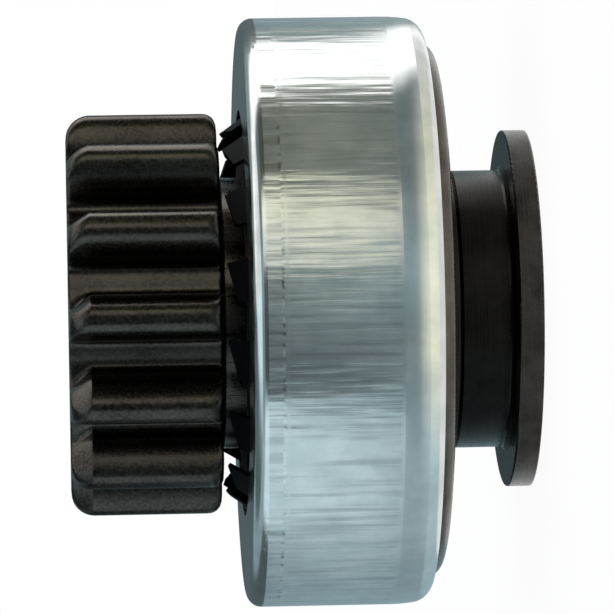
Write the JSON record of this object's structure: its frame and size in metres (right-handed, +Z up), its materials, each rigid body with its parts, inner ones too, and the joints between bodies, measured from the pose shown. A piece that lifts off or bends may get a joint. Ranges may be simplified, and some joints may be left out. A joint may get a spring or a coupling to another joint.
{
  "type": "starter drive",
  "caption": "Starter motor drive: a toothed pinion on a roller overrunning clutch in a rolled steel cover, with a grooved collar for the shift fork and a splined sleeve for the shaft.",
  "frame": {"origin": "centre of the fork collar's flat rear face, on the turning axis", "axes": "+Z up the turning axis, from the collar's rear face to the pinion's nose; +X is the picture's up direction"},
  "size_m": [0.0652, 0.0652, 0.0509],
  "materials": {
    "oxided_gear_steel": "black oxide, semi-gloss",
    "bronze": "sintered, satin",
    "oxided_steel": "black oxide, turned",
    "oxided_collar_steel": "black oxide, turned",
    "spring_steel": "drawn wire",
    "oxided_spring_steel": "black oxide",
    "zinc_plated_steel": "bright zinc plate",
    "dark_plate_steel": "stamped, dark",
    "hardened_steel": "ground",
    "felt": "oiled felt"
  },
  "bodies": {
    "housing": {"drive_housing": "oxided_steel", "cover": "zinc_plated_steel", "fork_collar": "oxided_collar_steel", "snap_ring": "spring_steel", "star_washer": "oxided_spring_steel", "retainer_plate": "dark_plate_steel", "pocket_plate": "dark_plate_steel", "felt_seal": "felt", "spring_1": "spring_steel", "spring_2": "spring_steel", "spring_3": "spring_steel", "spring_4": "spring_steel", "spring_5": "spring_steel"},
    "pinion": {"pinion": "oxided_gear_steel", "front_bush": "bronze", "rear_bush": "bronze", "half_washer_left": "hardened_steel", "half_washer_right": "hardened_steel"},
    "shoe_1": {"spring_shoe_1": "zinc_plated_steel"},
    "roller_1": {"roller_1": "hardened_steel"},
    "shoe_2": {"spring_shoe_2": "zinc_plated_steel"},
    "roller_2": {"roller_2": "hardened_steel"},
    "shoe_3": {"spring_shoe_3": "zinc_plated_steel"},
    "roller_3": {"roller_3": "hardened_steel"},
    "shoe_4": {"spring_shoe_4": "zinc_plated_steel"},
    "roller_4": {"roller_4": "hardened_steel"},
    "shoe_5": {"spring_shoe_5": "zinc_plated_steel"},
    "roller_5": {"roller_5": "hardened_steel"}
  },
  "joints": [
    {"name": "pinion_spin", "type": "hinge", "parent": "housing", "child": "pinion", "pos_m": [0, 0, 0.04265], "axis": [0, 0, 1], "continuous": true},
    {"name": "shoe_1_slide", "type": "slide", "parent": "housing", "child": "shoe_1", "axis": [0.4226, -0.9063, 0], "range_m": [0, 0.0014], "stiffness_N_per_m": 1200, "springref_m": -0.004, "deforming": ["spring_1"]},
    {"name": "roller_1_spin", "type": "hinge", "parent": "shoe_1", "child": "roller_1", "pos_m": [0.01855, 0.00603, 0.02035], "axis": [0, 0, 1], "continuous": true},
    {"name": "shoe_2_slide", "type": "slide", "parent": "housing", "child": "shoe_2", "axis": [0.9925, 0.1219, 0], "range_m": [0, 0.0014], "stiffness_N_per_m": 1200, "springref_m": -0.004, "deforming": ["spring_2"]},
    {"name": "roller_2_spin", "type": "hinge", "parent": "shoe_2", "child": "roller_2", "pos_m": [0, 0.0195, 0.02035], "axis": [0, 0, 1], "continuous": true},
    {"name": "shoe_3_slide", "type": "slide", "parent": "housing", "child": "shoe_3", "axis": [0.1908, 0.9816, 0], "range_m": [0, 0.0014], "stiffness_N_per_m": 1200, "springref_m": -0.004, "deforming": ["spring_3"]},
    {"name": "roller_3_spin", "type": "hinge", "parent": "shoe_3", "child": "roller_3", "pos_m": [-0.01855, 0.00603, 0.02035], "axis": [0, 0, 1], "continuous": true},
    {"name": "shoe_4_slide", "type": "slide", "parent": "housing", "child": "shoe_4", "axis": [-0.8746, 0.4848, 0], "range_m": [0, 0.0014], "stiffness_N_per_m": 1200, "springref_m": -0.004, "deforming": ["spring_4"]},
    {"name": "roller_4_spin", "type": "hinge", "parent": "shoe_4", "child": "roller_4", "pos_m": [-0.01146, -0.01578, 0.02035], "axis": [0, 0, 1], "continuous": true},
    {"name": "shoe_5_slide", "type": "slide", "parent": "housing", "child": "shoe_5", "axis": [-0.7314, -0.682, 0], "range_m": [0, 0.0014], "stiffness_N_per_m": 1200, "springref_m": -0.004, "deforming": ["spring_5"]},
    {"name": "roller_5_spin", "type": "hinge", "parent": "shoe_5", "child": "roller_5", "pos_m": [0.01146, -0.01578, 0.02035], "axis": [0, 0, 1], "continuous": true}
  ],
  "couplings": [
    {"joint": "roller_1_spin", "follows": "pinion_spin", "ratio": -3.3557},
    {"joint": "roller_2_spin", "follows": "pinion_spin", "ratio": -3.3557},
    {"joint": "roller_3_spin", "follows": "pinion_spin", "ratio": -3.3557},
    {"joint": "roller_4_spin", "follows": "pinion_spin", "ratio": -3.3557},
    {"joint": "roller_5_spin", "follows": "pinion_spin", "ratio": -3.3557}
  ]
}
